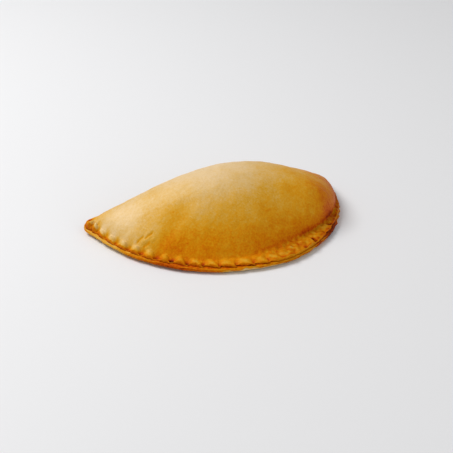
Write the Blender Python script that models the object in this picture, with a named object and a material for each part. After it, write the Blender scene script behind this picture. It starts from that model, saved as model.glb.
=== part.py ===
"""A baked turnover: a half-moon of dough folded over its filling and crimped along the arc.

Metres, +Z up. The fold runs along X and the crimped arc faces -Y. The origin is the middle of the
underside's box, on the surface that the turnover rests on. Inside the functions, x and y are
measured from the middle of the fold, and phi is the angle round that point, from the left tip
(0) through the middle of the arc (a quarter turn) to the right tip (a half turn).
"""

import bmesh
import bpy
import numpy as np

NAME = "turnover"

# Outline, seen from above
HALF_LENGTH = 0.0750  # middle of the fold to either tip
DEPTH = 0.0769        # middle of the fold to the middle of the arc
SKEW = 0.0030         # how much further out the arc's right half lies than its left
NUB = 0.0026          # how much further out the left tip reaches, as a small nub
NUB_RISE = 0.0040     # how much higher the rim stands there
SHOULDER = 0.0012     # how much fuller the outline is just before the right tip
BULGE = 0.0009        # and a little right of the middle
FOLD_BULGE = 0.0031   # how far the fold bows out behind the line between the tips
TIP_SHARPNESS = 17.0  # exponent that rounds the two corners where the arc meets the fold

# Crimped rim
RIM_LEFT = 0.0062     # width of the crimped band, from its edge to the foot of the dome
RIM_WIDEST = 0.0122   # the same where it is widest, right of the middle
RIM_RIGHT = 0.0020    # the same at the right tip
LOWER_SHEET = 0.0026  # thickness of the rim's lower sheet of dough
UPPER_SHEET = 0.0011  # thickness of the upper sheet, which was pressed thinner
LIP = 0.0011          # how far the lower sheet stands out past the upper one
LIP_LESS = 0.0006     # how much less it does at the right
SEAM = 0.0007         # depth of the seam between the two sheets
CRACK = 0.0013        # how much deeper the seam is where it has opened
LIFT = 0.0003         # how far the whole edge stands off the table
LIFT_LEFT = 0.0007    # how much more it does at the left
LIFT_RIGHT = 0.0001   # and at the right
BED = 0.0085          # from the edge in to where the underside meets the table
EDGE_REACH = 0.018    # how far in from the edge the lift and the crisp crease fade out
FOLD_BED = 0.0085     # from the fold in to where the underside meets the table
FOLD_STEP = 0.00005   # inset of the rows that climb the fold, times their number squared

# Dome
HEIGHT = 0.0362       # crest above the table
FOOT = 0.0035         # height at which the dome's surface would meet the rim
DOME_LEFT = 0.0730    # its length along the fold, from the middle to the left end
DOME_RIGHT = 0.0768   # and to the right end
ARC_LEFT = 1.00       # how gently the dome rises from the rim, at the left and in the middle
ARC_RIGHT = 0.40      # and at the right end
FOLD_POWER = 0.615    # how bluntly it rises from the fold
ROUND_POWER = 2.00    # how full it is along the fold
END_LEFT = 0.95       # how bluntly it ends at the left tip
END_RIGHT = 0.82      # and at the right tip
RIGHT_FROM = 0.0380   # x at which the right end's shape takes over
RIGHT_SOFT = 0.0150   # over about this length to either side
FLAT_CREST = 0.15     # share of its half length over which the crest is flattened
LEFT_FULLER = 0.075   # how much fuller it is just before the left end, as a share of its height
LEFT_FULLEST = -0.067 # x at which that is most
LEFT_REACH = 0.010    # and how far it reaches
LEAN = 0.061          # how much higher it is at the right end than at the left
UNDERCUT = 0.8        # slope at which the dome's surface would go on down below the rim
CREASE_SOFT = 0.0030  # rounding at the foot of the dome, at the left and front
CREASE_CRISP = 0.0010 # the same at the right

# Pressed beads of dough along the rim: at the left, and what the right ones have more
BEAD_START = np.radians(4.5)
BEAD_PITCH = np.radians(7.5)
BEAD_CLOSE = np.radians(1.6)  # how much closer they are a little right of the middle
TIP_CLOSE = np.radians(5.5)   # and at the tips
TIP_REACH = np.radians(8.0)   # how far from a tip they are closer
BEAD_JITTER = 0.06    # unevenness of the spaces, as a share
BEAD_HEIGHT = 0.0012
BEAD_HALF_WIDTH = 0.24  # as a share of the space to the next bead
BEAD_WIDER = 0.09
BEAD_HALF_LENGTH = 0.0021
BEAD_LONGER = 0.0013
BEAD_INSET = 0.0035   # the edge to a bead's middle
BEAD_FURTHER = 0.0008
FULL_SPACE = 0.0085   # beads closer than this are lower
RIGHT_FADE = np.radians(165.0)  # from here on the beads flatten out
PIT_DEPTH = 0.0012    # pits, midway between beads
PIT_WIDTH = 0.12      # as a share of the space between beads
PIT_INSET = 0.0018
PIT_LENGTH = 0.0024
SCALLOP = 0.0007      # how far the upper sheet's edge draws back between beads
SEED = 3036

# Wrinkles, a dent and a tear, from one end to the other and half as wide as given
WRINKLES = [((-0.0552, -0.0372), (-0.0522, -0.0374)),
            ((-0.0510, -0.0391), (-0.0478, -0.0394)),
            ((-0.0528, -0.0413), (-0.0502, -0.0420))]
WRINKLE_WIDTH = 0.0008
WRINKLE_DEPTH = 0.0005
DENT = ((-0.0460, -0.0470), (-0.0280, -0.0400))
DENT_WIDTH = 0.0045
DENT_DEPTH = 0.0008
TEAR = ((0.0396, -0.0690), (0.0388, -0.0645))
TEAR_WIDTH = 0.0009
TEAR_DEPTH = 0.0016
SWELL = 0.0004        # height of the slow unevenness of the dome

# Mesh
COLUMNS = 264
FOLD_COLUMNS = 64
CORE = np.array([0.0, -0.030])  # where the rings close, seen from above
SHELF = 0.0018        # inset at which the rim's rings start; the last but three follows the crease
NARROWEST = 0.0050    # least inset of that ring
FOLD_RINGS = 0.0065   # its inset on the fold's side
RIM_RINGS = [(1, 0.14), (1, 0.32), (1, 0.52), (1, 0.74), (1, 0.92), (1, 1.08),
             (2, 1.32), (2, 1.70)]  # one ray in so many, at this share of the way to the crease
DOME_RINGS = [(4, 0.12), (4, 0.25), (4, 0.38), (4, 0.51), (8, 0.65), (8, 0.80)]
UNDERSIDE_RINGS = [(8, 0.75), (4, 0.50), (2, 0.25)]

CRUST_COLOUR = (0.62, 0.34, 0.09, 1.0)


def bell(value, centre, width):
    """A smooth bump of height 1 at centre."""
    return np.exp(-(((value - centre) / width) ** 2))


def step_up(value, middle, soft):
    """0 well below middle and 1 well above it."""
    return 0.5 * (1.0 + np.tanh((value - middle) / soft))


def span(value, low, high, soft):
    """1 between low and high and 0 outside, over a soft edge."""
    return step_up(value, low, soft) * step_up(high, value, soft)


def smooth_max(a, b, width):
    """The larger of a and b, with the corner between them rounded over width."""
    return 0.5 * (a + b + np.sqrt((a - b) ** 2 + width**2))


def polar(x, y):
    """Distance from the middle of the fold, and the angle from the left tip."""
    return np.hypot(x, y), np.arctan2(np.maximum(-y, 0.0), -x)


def arc_radius(phi):
    """Distance from the middle of the fold to the crimped edge."""
    nub = NUB * bell(phi, 0.0, np.radians(7.0))
    shoulder = SHOULDER * bell(phi, np.radians(155.0), np.radians(14.0))
    bulge = BULGE * bell(phi, np.radians(103.0), np.radians(13.0))
    oval = HALF_LENGTH + (DEPTH - HALF_LENGTH) * np.sin(phi) ** 2
    return oval - SKEW * np.sin(2.0 * phi) + nub + shoulder + bulge


def rim_width(phi):
    """Width of the crimped band."""
    widest = (RIM_WIDEST - RIM_LEFT) * bell(phi, np.radians(112.0), np.radians(25.0))
    at_right = (RIM_RIGHT - RIM_LEFT) * step_up(phi, np.radians(150.0), np.radians(10.0))
    return RIM_LEFT + widest + at_right


def fold_line(x):
    """y of the fold's outermost line."""
    return FOLD_BULGE * (1.0 - (x / HALF_LENGTH) ** 2)


def right_end(x):
    """0 over the dome's left and middle, and 1 at its right end."""
    return step_up(x, RIGHT_FROM, RIGHT_SOFT)


def dome_half(x):
    """Half length of the dome, along the fold."""
    return DOME_LEFT + (DOME_RIGHT - DOME_LEFT) * right_end(x)


def foot_line(x):
    """y of the foot of the dome, in front."""
    share = np.clip(x / dome_half(x), -1.0, 1.0)
    phi = np.arccos(-share)
    return -np.sqrt(1.0 - share**2) * (arc_radius(phi) - rim_width(phi))


def bead_angles():
    """Where the beads are along the arc: closer at the tips and a little right of the middle."""
    rng = np.random.default_rng(SEED)
    angles = []
    phi = BEAD_START
    while phi < np.pi - 0.5 * BEAD_START:
        angles.append(phi)
        pitch = BEAD_PITCH - BEAD_CLOSE * bell(phi, np.radians(101.0), np.radians(14.0))
        pitch -= TIP_CLOSE * bell(phi, 0.0, TIP_REACH)
        pitch -= TIP_CLOSE * bell(phi, np.pi, TIP_REACH)
        phi += pitch * (1.0 + BEAD_JITTER * rng.standard_normal())
    return np.array(angles)


BEADS = bead_angles()
SPACES = (np.append(BEADS[1:], np.pi) - BEADS) * HALF_LENGTH


def bead_fading(phi):
    """1 along the arc, and 0 at the right tip, where the beads flatten out."""
    return step_up(RIGHT_FADE, phi, np.radians(4.0))


def bead_strength(phi):
    """Distinct round beads at the left, flatter ones in the middle, low lumps at the right."""
    left = step_up(np.radians(60.0), phi, np.radians(8.0))
    middle = step_up(np.radians(95.0), phi, np.radians(8.0))
    return (0.40 + 0.15 * middle + 0.45 * left) * bead_fading(phi)


def plateau(value, half_width):
    """A bump of height 1 with a rounded flat top."""
    return np.exp(-np.abs(value / half_width) ** 3)


def crimp(phi, inset):
    """Height that the beads and the pits beside them add to the rim."""
    relief = np.zeros_like(phi)
    for centre, space in zip(BEADS, SPACES):
        right = step_up(centre, np.radians(85.0), np.radians(12.0))
        half_width = (BEAD_HALF_WIDTH + BEAD_WIDER * right) * space
        half_length = BEAD_HALF_LENGTH + BEAD_LONGER * right
        middle = BEAD_INSET + BEAD_FURTHER * right
        along = (phi - centre) * HALF_LENGTH
        bead = plateau(along, half_width) * plateau(inset - middle, half_length)
        pit = bell(along, 0.5 * space, PIT_WIDTH * space) * bell(inset, PIT_INSET, PIT_LENGTH)
        strength = bead_strength(centre) * min(1.0, space / FULL_SPACE)
        relief = relief + strength * (BEAD_HEIGHT * bead - PIT_DEPTH * pit)
    return relief


def scallop(phi):
    """How far the upper sheet's edge is drawn back, between the beads."""
    beads = np.zeros_like(phi)
    for centre, space in zip(BEADS, SPACES):
        beads = beads + plateau((phi - centre) * HALF_LENGTH, 0.34 * space)
    return SCALLOP * (1.0 - np.minimum(beads, 1.0)) * bead_fading(phi)


def lip_width(phi):
    """How far the lower sheet stands out past the upper one."""
    return LIP - LIP_LESS * span(phi, np.radians(95.0), np.radians(185.0), np.radians(6.0))


def groove(x, y, ends, width):
    """1 along the line between two points, fading over width."""
    start, end = np.array(ends[0]), np.array(ends[1])
    line = end - start
    share = ((x - start[0]) * line[0] + (y - start[1]) * line[1]) / np.dot(line, line)
    share = np.clip(share, 0.0, 1.0)
    gap = np.hypot(x - start[0] - share * line[0], y - start[1] - share * line[1])
    return bell(gap, 0.0, width)


def marks(x, y):
    """Depth of the wrinkles, the dent and the tear."""
    depth = DENT_DEPTH * groove(x, y, DENT, DENT_WIDTH) + TEAR_DEPTH * groove(x, y, TEAR, TEAR_WIDTH)
    for ends in WRINKLES:
        depth = depth + WRINKLE_DEPTH * groove(x, y, ends, WRINKLE_WIDTH)
    return depth


def swell(x, y):
    """Slow hand-made unevenness, between -1 and 1."""
    first = np.sin(x / 0.0105 + 0.8) * np.sin(y / 0.0090 + 1.9)
    second = np.sin((x + y) / 0.0066 + 2.4) * np.sin((x - 1.6 * y) / 0.0120 + 0.3)
    return 0.6 * first + 0.4 * second


def rim_lift(phi):
    """How far the edge stands off the table."""
    left = LIFT_LEFT * span(phi, np.radians(-5.0), np.radians(60.0), np.radians(12.0))
    right = LIFT_RIGHT * span(phi, np.radians(100.0), np.radians(165.0), np.radians(12.0))
    return LIFT + left + right


def seam_opening(phi):
    """1 where the two sheets have come apart and 0 where they are sealed."""
    front = span(phi, np.radians(70.0), np.radians(97.0), np.radians(3.0))
    right = span(phi, np.radians(126.0), np.radians(142.0), np.radians(3.0))
    return np.maximum(front, right)


def across(x, share):
    """The dome's section, from its foot in front (0) to the fold (1), with its crest at 1."""
    rise = ARC_LEFT + (ARC_RIGHT - ARC_LEFT) * right_end(x)
    crest = rise / (rise + FOLD_POWER)
    peak = crest**rise * (1.0 - crest) ** FOLD_POWER
    return share**rise * (1.0 - share) ** FOLD_POWER / peak


def fullness(x):
    """How high the dome's section is at x, with 1 in the middle."""
    share = (x / dome_half(x)) ** 2 + FLAT_CREST**2
    fall = share ** (0.5 * ROUND_POWER) - FLAT_CREST**ROUND_POWER
    blunt = END_LEFT + (END_RIGHT - END_LEFT) * right_end(x)
    even = np.clip(1.0 - fall, 0.0, 1.0) ** blunt * (1.0 + LEAN * x / HALF_LENGTH)
    return even + LEFT_FULLER * bell(x, LEFT_FULLEST, LEFT_REACH)


def top_height(x, y):
    """Height of the upper surface over the point x, y."""
    rho, phi = polar(x, y)
    inset = arc_radius(phi) - rho
    foot = foot_line(x)
    share = np.clip((y - foot) / (fold_line(x) - foot + 1e-6), 0.0, 1.0)
    bulk = fullness(x) * across(x, share)
    dome = FOOT + (HEIGHT - FOOT) * bulk + SWELL * swell(x, y) * np.minimum(3.0 * bulk, 1.0)
    near_edge = np.clip(1.0 - inset / EDGE_REACH, 0.0, 1.0)
    right = span(phi, np.radians(92.0), np.radians(172.0), np.radians(10.0)) * near_edge
    softness = CREASE_SOFT + (CREASE_CRISP - CREASE_SOFT) * right
    dome = dome - UNDERCUT * smooth_max(rim_width(phi) - inset, 0.0, 0.7 * softness)
    raised = rim_lift(phi) + NUB_RISE * bell(phi, 0.0, np.radians(8.0))
    rim = LOWER_SHEET + UPPER_SHEET + raised * near_edge
    on_rim = step_up(0.0008, dome - rim, 0.0006)
    return smooth_max(rim, dome, softness) + crimp(phi, inset) * on_rim - marks(x, y)


def rays():
    """Rays from the core to the edge: angle, direction, length, and the fold's share of each."""
    angle = np.linspace(-np.pi, np.pi, 4001)[:-1]
    direction = np.stack([np.cos(angle), np.sin(angle)], axis=1)
    to_arc = np.full(len(angle), HALF_LENGTH)
    to_fold = np.full(len(angle), HALF_LENGTH)
    for _ in range(30):
        point = CORE + to_arc[:, None] * direction
        rho, phi = polar(point[:, 0], point[:, 1])
        to_arc = to_arc + arc_radius(phi) - rho
        reach = np.clip(to_fold * direction[:, 0], -HALF_LENGTH, HALF_LENGTH)
        to_fold = (fold_line(reach) - CORE[1]) / np.maximum(direction[:, 1], 0.05)
    nearness = to_arc**-TIP_SHARPNESS + to_fold**-TIP_SHARPNESS
    length = nearness ** (-1.0 / TIP_SHARPNESS)
    share = (length / to_fold) ** TIP_SHARPNESS
    return angle, direction, length, share


def columns(count, fold_count):
    """Evenly spread rays, count in all, with fold_count of them along the fold."""
    angle, direction, length, share = rays()
    point = CORE + length[:, None] * direction
    step = np.linalg.norm(np.roll(point, -1, axis=0) - point, axis=1)
    fold_density = fold_count / (2.0 * HALF_LENGTH)
    arc_density = (count - fold_count) / (np.pi * HALF_LENGTH)
    weight = np.cumsum(step * (arc_density + (fold_density - arc_density) * share))
    turn = np.interp(np.arange(count) * weight[-1] / count, weight, angle)
    direction = np.stack([np.cos(turn), np.sin(turn)], axis=1)
    length = np.interp(turn, angle, length)
    share = np.interp(turn, angle, share)
    point = CORE + length[:, None] * direction
    edge = np.roll(point, -1, axis=0) - np.roll(point, 1, axis=0)
    outward = np.stack([edge[:, 1], -edge[:, 0]], axis=1)
    outward = outward / np.linalg.norm(outward, axis=1)[:, None]
    slant = np.clip(np.sum(outward * direction, axis=1), 0.35, 1.0)
    return direction, length, share, slant


def at_inset(rim, inset):
    """Points that lie inset metres inside the edge, one for each ray."""
    direction, length, _, slant = rim
    return CORE + (length - inset / slant)[:, None] * direction


def section(rim):
    """Rows of the rim's section from the table up to the upper sheet, as inset and height."""
    share = rim[2]
    edge = at_inset(rim, 0.0)
    phi = polar(edge[:, 0], edge[:, 1])[1]
    lift = rim_lift(phi)
    lip = lip_width(phi)
    back = lip + scallop(phi)
    seam = lip + SEAM + CRACK * seam_opening(phi)
    shelf = at_inset(rim, back + 0.0006)
    brow = top_height(shelf[:, 0], shelf[:, 1])
    sill = lift + 1.05 * LOWER_SHEET
    arc_rows = [
        (BED, 0.0 * lift),
        (0.5 * BED, 0.35 * lift),
        (0.5 * LOWER_SHEET, lift),
        (0.12 * LOWER_SHEET, lift + 0.18 * LOWER_SHEET),
        (0.0, lift + 0.5 * LOWER_SHEET),
        (0.1 * lip, lift + 0.85 * LOWER_SHEET),
        (0.6 * lip, lift + LOWER_SHEET),
        (seam, sill),
        (back, sill + 0.25 * (brow - sill)),
        (back, sill + 0.65 * (brow - sill)),
        (back + 0.0003, sill + 0.92 * (brow - sill)),
    ]
    outermost = 4
    nose = top_height(edge[:, 0], edge[:, 1])
    rows = []
    for number, (arc_inset, arc_height) in enumerate(arc_rows):
        if number <= outermost:
            turn = 0.5 * np.pi * number / outermost
            fold_inset = FOLD_BED * (1.0 - np.sin(turn))
            fold_height = nose * (1.0 - np.cos(turn))
        else:
            fold_inset = FOLD_STEP * (number - outermost) ** 2
            point = at_inset(rim, fold_inset)
            fold_height = top_height(point[:, 0], point[:, 1])
        inset = arc_inset + (fold_inset - arc_inset) * share
        height = arc_height + (fold_height - arc_height) * share
        rows.append((inset, height))
    return rows


def every(rim, step):
    """The rim's rays, thinned to one in step."""
    return tuple(part[::step] for part in rim)


def over(point):
    """Points lifted onto the upper surface."""
    return np.column_stack([point, top_height(point[:, 0], point[:, 1])])


def under(point):
    """Points on the table."""
    return np.column_stack([point, np.zeros(len(point))])


def on_rim(rim, part):
    """Points at a share of the way from the shelf to the crease, one for each ray."""
    edge = at_inset(rim, 0.0)
    crease = np.maximum(rim_width(polar(edge[:, 0], edge[:, 1])[1]), NARROWEST)
    crease = crease + (FOLD_RINGS - crease) * rim[2]
    return at_inset(rim, SHELF + part * (crease - SHELF))


def toward_core(point, part):
    """Points a part of the way from the given ones to the core."""
    return CORE + (point - CORE) * (1.0 - part)


def rings():
    """Rings of points from the middle of the underside, round the edge and up to the crest."""
    rim = columns(COLUMNS, FOLD_COLUMNS)
    found = [under(CORE[None, :])]
    for step, part in UNDERSIDE_RINGS:
        found.append(under(toward_core(at_inset(every(rim, step), BED), part)))
    for inset, height in section(rim):
        found.append(np.column_stack([at_inset(rim, inset), height]))
    for step, part in RIM_RINGS:
        found.append(over(on_rim(every(rim, step), part)))
    for step, part in DOME_RINGS:
        found.append(over(toward_core(on_rim(every(rim, step), RIM_RINGS[-1][1]), part)))
    found.append(over(CORE[None, :]))
    return found


def strip(lower, upper):
    """Triangles between two rings of vertex numbers that have equal, double or half counts."""
    faces = []
    if len(lower) == 1:
        faces += [(lower[0], upper[i], upper[i - 1]) for i in range(len(upper))]
    elif len(upper) == 1:
        faces += [(lower[i - 1], lower[i], upper[0]) for i in range(len(lower))]
    elif len(lower) == len(upper):
        for i in range(len(lower)):
            faces.append((lower[i - 1], lower[i], upper[i]))
            faces.append((lower[i - 1], upper[i], upper[i - 1]))
    elif len(lower) > len(upper):
        for i in range(len(upper)):
            before, middle, after = lower[2 * i - 2], lower[2 * i - 1], lower[2 * i]
            faces.append((before, middle, upper[i - 1]))
            faces.append((middle, upper[i], upper[i - 1]))
            faces.append((middle, after, upper[i]))
    else:
        for i in range(len(lower)):
            before, middle, after = upper[2 * i - 2], upper[2 * i - 1], upper[2 * i]
            faces.append((lower[i - 1], middle, before))
            faces.append((lower[i - 1], lower[i], middle))
            faces.append((lower[i], after, middle))
    return faces


def build_mesh(name):
    """One closed body from the rings, with the middle of its box over the origin."""
    found = rings()
    points = np.concatenate(found)
    middle = 0.5 * (points.min(axis=0) + points.max(axis=0))
    points[:, :2] -= middle[:2]
    shape = bmesh.new()
    verts = [shape.verts.new(point) for point in points]
    first = 0
    numbered = []
    for ring in found:
        numbered.append(list(range(first, first + len(ring))))
        first += len(ring)
    for lower, upper in zip(numbered, numbered[1:]):
        for face in strip(lower, upper):
            shape.faces.new([verts[number] for number in face])
    mesh = bpy.data.meshes.new(name)
    shape.to_mesh(mesh)
    shape.free()
    mesh.shade_smooth()
    return mesh


def crust_material():
    """Golden baked dough with a soft sheen."""
    material = bpy.data.materials.new("baked_crust")
    material.use_nodes = True
    shader = material.node_tree.nodes["Principled BSDF"]
    shader.inputs["Base Color"].default_value = CRUST_COLOUR
    shader.inputs["Roughness"].default_value = 0.5
    shader.inputs["Metallic"].default_value = 0.0
    return material


def clear_scene():
    for item in list(bpy.data.objects):
        bpy.data.objects.remove(item)


def main():
    clear_scene()
    turnover = bpy.data.objects.new(NAME, build_mesh(NAME))
    turnover.data.materials.append(crust_material())
    bpy.context.scene.collection.objects.link(turnover)


if __name__ == "__main__":
    main()
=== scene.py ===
import bpy
import numpy as np
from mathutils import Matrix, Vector


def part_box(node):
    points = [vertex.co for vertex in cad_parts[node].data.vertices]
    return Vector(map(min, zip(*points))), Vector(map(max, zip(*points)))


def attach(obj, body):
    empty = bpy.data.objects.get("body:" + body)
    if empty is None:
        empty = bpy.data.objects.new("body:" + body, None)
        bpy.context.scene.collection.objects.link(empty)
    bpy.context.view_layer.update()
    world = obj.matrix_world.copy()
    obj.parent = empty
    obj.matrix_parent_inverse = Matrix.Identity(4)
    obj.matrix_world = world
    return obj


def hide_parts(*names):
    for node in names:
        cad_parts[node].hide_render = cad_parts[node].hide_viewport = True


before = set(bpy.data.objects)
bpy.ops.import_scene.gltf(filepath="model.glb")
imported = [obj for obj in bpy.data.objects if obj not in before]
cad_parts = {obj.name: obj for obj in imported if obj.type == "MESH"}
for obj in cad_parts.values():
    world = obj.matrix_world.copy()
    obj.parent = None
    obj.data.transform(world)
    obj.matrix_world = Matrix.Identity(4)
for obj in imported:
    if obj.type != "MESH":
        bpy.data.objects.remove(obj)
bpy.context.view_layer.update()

# A baked half-moon turnover. The crust is a fine skin over the solid, with the same outline and
# dome, and it stands for that solid. x and y are measured from the middle of the fold, and phi is
# the angle round that point, from the left tip (0) to the right tip (a half turn). The inset is
# the distance inwards from the outline. Lengths are in metres.
#
# Places round the arc are in degrees of phi: (middle, width) for a hump, (angle, softness) for a
# step, and (from, to, softness) for a stretch. Random waves are (size, seed).

# Outline, seen from above
HALF_LENGTH = 0.0750
DEPTH = 0.0769
SKEW = 0.0030
NUB = 0.0026
NUB_AT = (0.0, 7.0)
SHOULDER = 0.0012
SHOULDER_AT = (155.0, 14.0)
BULGE = 0.0009
BULGE_AT = (103.0, 13.0)
FOLD_BULGE = 0.0031
TIP_SHARPNESS = 17.0

# Crimped rim: two sheets of dough
RIM_LEFT = 0.0062
RIM_WIDEST = 0.0122
RIM_WIDEST_AT = (112.0, 25.0)
RIM_RIGHT = 0.0020
RIM_RIGHT_FROM = (150.0, 10.0)
LOWER_SHEET = 0.0026
UPPER_SHEET = 0.0011
NUB_RISE = 0.0040
NUB_RISE_AT = (0.0, 8.0)
LIFT = 0.0003
LIFT_LEFT = 0.0007
LIFT_LEFT_AT = (-5.0, 60.0, 12.0)
LIFT_RIGHT = 0.0001
LIFT_RIGHT_AT = (100.0, 165.0, 12.0)
BED = 0.0085
EDGE_REACH = 0.018    # the rim's rise and the crease's crispness end this far in
FLANGE = (98.0, 176.0, 8.0)
FLANGE_FROM = (97.0, 6.0)
FRONT = (54.0, 97.0, 5.0)

# The lower sheet's lip
LIP = 0.0011
LIP_LESS = 0.0006
LIP_LESS_AT = (95.0, 185.0, 6.0)
LIP_ROUNDING = 0.45   # as a share of the sheet
LIP_SQUARENESS = 2.6
FLAKE = 0.00013       # how far the thin layers stand out
LAYERS = 3.0
LAYERS_WANDER = 0.25
LAYERS_WAVES = (0.016, 33)
LAYERS_FADE = 0.5
LAYERS_USUAL = 0.7
LAYERS_LIMITS = (0.1, 1.3)
LAYERS_FADE_WAVES = (0.0070, 37)
LAYERS_FADE_APART = 5.0  # sets the rows' waves apart from each other
FLAKE_ROUGH = 0.25
FLAKE_WAVES = (0.0016, 34)
RAGGED = 0.00010      # unevenness of the outline
RAGGED_WAVES = (0.0090, 31)
RAGGED_FINE = 0.4
RAGGED_FINE_WAVES = (0.0020, 32)
RAGGED_RIGHT = 0.00025
RAGGED_RIGHT_FROM = (140.0, 3.0)
RAGGED_RIGHT_WAVES = (0.0042, 36)
FURTHER = 0.0004      # how much further out the lip reaches on either side of the tear
FURTHER_AT = (104.0, 143.0, 5.0)
UNDERCUT_LIP = 0.0005  # how far the pale lower corner is set back
UNDER_RISE = ((1.00, 0.00), (0.75, 0.08), (0.50, 0.35), (0.30, 0.75))  # shares of bed and lift

# The upper sheet's edge, and the seam below it
SHEET_RAGGED = 0.00010
SHEET_RAGGED_WAVES = (0.0025, 41)
SHEET_ROUNDING = 0.00045
SHEET_WAIST = 0.00008
SHEET_LEAST = 0.0004  # thickness
SHEET_FROM = 0.02     # the sheet's rows begin and end this near its corners
NUB_ROUNDING = 0.0011
NUB_ROUNDING_AT = (0.0, 9.0)
SHELF = 0.00005
SHELF_RINGS = 0.00017
SEAM = 0.0007
SEAM_GAP = 0.00008
SILL_STEPS = (0.00002, 0.00004, 0.00003)
SILL_OVERLAP = 0.0001
OPEN_FRONT = (70.0, 97.0, 3.0)
OPEN_RIGHT = (126.0, 142.0, 3.0)
CRACK = 0.0013
CRACK_UNEVEN = 0.35
CRACK_WAVES = (0.0045, 42)
CRACK_GAP = 0.0004
GAP_UNEVEN = 0.6
GAP_WAVES = (0.0070, 43)
GAP_LIMITS = (0.2, 2.0)
CHARRED = (124.0, 141.0, 2.5)
CHARRED_GAP = 0.8     # how much wider the seam gapes there
SCALLOP = 0.0007
SCALLOP_FRONT = 0.0016
SCALLOP_FLANGE = 0.65  # how much less it is scalloped along the flange
NOTCH_BEYOND = 0.22   # a notch's reach to either side, as a share of the beads' spacing
NOTCH_BEFORE = 0.11

# Dome
HEIGHT = 0.0362
FOOT = 0.0035
DOME_LEFT = 0.0730
DOME_RIGHT = 0.0768
ARC_LEFT = 1.00
ARC_RIGHT = 0.40
FOLD_POWER = 0.615
ROUND_POWER = 2.00
END_LEFT = 0.95
END_RIGHT = 0.82
RIGHT_FROM = 0.0380
RIGHT_SOFT = 0.0150
FLAT_CREST = 0.15
LEFT_FULLER = 0.075
LEFT_FULLEST = -0.067
LEFT_REACH = 0.010
LEAN = 0.061
UNDERCUT = 0.8
UNDERCUT_SOFT = 0.7   # as a share of the crease's rounding
CREASE_SOFT = 0.0030
CREASE_CRISP = 0.0010
CRISP_AT = (92.0, 172.0, 10.0)
SWELL = 0.0004
SWELL_FULL = 3.0      # the swell is full from one part in this many of the dome's bulk

# Fine unevenness of the upper surface
DIMPLES = 0.00008
DIMPLE_WAVES = (0.0085, 5)
PIMPLES = 0.00003
PIMPLE_WAVES = (0.0028, 6)
LUMPS = 0.00004
LUMPS_FLANGE = 0.00018
LUMPS_FROM = (94.0, 8.0)
LUMP_WAVES = (0.0045, 3)
CRUMBS_FLANGE = 0.00004
CRUMB_WAVES = (0.0015, 4)
RIM_SOFT = 0.0006     # how gradually the rim's own relief and browning end at the dome
RELIEF_TO = 0.0008    # and where, as the dome's height above the rim
MOTTLE_TO = 0.0
# where the flange's darkening ends: partly a duller crust, partly painted shade from the dome
DULL_AND_SHADE_TO = -0.0004

# Beads, and the pits between them
BEAD_START = np.radians(4.5)
BEAD_PITCH = np.radians(7.5)
BEAD_CLOSE = np.radians(1.6)
BEAD_CLOSE_AT = (101.0, 14.0)
TIP_CLOSE = np.radians(5.5)
TIP_REACH = 8.0
BEAD_JITTER = 0.06
BEAD_LEFT_TO = (60.0, 8.0)
BEAD_RIGHT_FROM = (85.0, 12.0)
BEAD_FADE = (166.0, 4.0)  # from here on the beads flatten out
FULL_SPACE = 0.0060   # beads closer than this are lower
BEAD_HEIGHT = 0.0016
BEAD_LEAST = 0.45     # shares of that height
BEAD_LEFT_HIGHER = 0.55
BEAD_FLANGE_LOWER = 0.12
BEAD_HEIGHTS = (0.85, 1.15)
BEAD_HALF_WIDTH = 0.25  # as a share of the space to the next bead
BEAD_WIDER = 0.09
BEAD_WIDTHS = (0.92, 1.10)
BEAD_HALF_LENGTH = 0.0022
BEAD_LONGER = 0.0012
BEAD_LENGTHS = (0.90, 1.10)
BEAD_INSET = 0.0036
BEAD_FURTHER = 0.0007
BEAD_INSETS = 0.0002
BEAD_TILT = 0.30      # how far a bead's outer end leans on towards the next one
BEAD_FLATNESS = 2.4
BEAD_REACH = np.radians(9.0)
BEAD_REACH_IN = 0.014
PIT_DEPTH = 0.0017
PIT_SHALLOWER = 0.75
PIT_DEPTHS = (0.80, 1.15)
PIT_WIDTH = 0.12
PIT_NARROWER = 0.05
PIT_LEFT_WIDER = 0.25
PIT_BEYOND = 1.5      # a pit's reach to either side, as a share of its width
PIT_BEFORE = 0.9
PIT_AT = 0.46         # a pit's place, as a share of the space to the next bead
PIT_INSET = 0.0018
PIT_FURTHER = 0.0012
PIT_LENGTH = 0.0024
RING_DEPTH = 0.0005   # hollow round a bead's upper side
RING_LEAST = 0.25
RING_RADIUS = 1.35
RING_WIDTH = 0.34
RING_OPEN = 0.3
SEED = 3036

# Wrinkles, dent, tear and prick hole
WRINKLES = [((-0.0552, -0.0372), (-0.0522, -0.0374)),
            ((-0.0510, -0.0391), (-0.0478, -0.0394)),
            ((-0.0528, -0.0413), (-0.0502, -0.0420))]
WRINKLE_WIDTH = 0.0006
WRINKLE_DEPTH = 0.0005
FOLDS = [((-0.0534, -0.0395), (-0.0494, -0.0404)),
         ((-0.0500, -0.0419), (-0.0474, -0.0422))]
FOLD_WIDTH = 1.3 * WRINKLE_WIDTH
FOLD_HEIGHT = 0.0004
DENT = ((-0.0460, -0.0470), (-0.0280, -0.0400))
DENT_WIDTH = 0.0045
DENT_DEPTH = 0.0008
TEAR = ((0.0396, -0.0690), (0.0388, -0.0645))
TEAR_WIDTH = 0.0008
TEAR_DEPTH = 0.0022
TEAR_INNER = 0.0640   # its inner end, how long it is, and how it widens outwards
TEAR_LENGTH = 0.0050
TEAR_LONGEST = 1.3
TEAR_NARROW = 0.7
TEAR_WIDENS = 0.9
FLAP_HEIGHT = 0.0005
FLAP_WIDTH = 2.0 * TEAR_WIDTH
FLAP_BESIDE = 0.0018
HOLE = (-0.0692, -0.0100)
HOLE_WIDTH = 0.0009
HOLE_DEPTH = 0.0006

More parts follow.
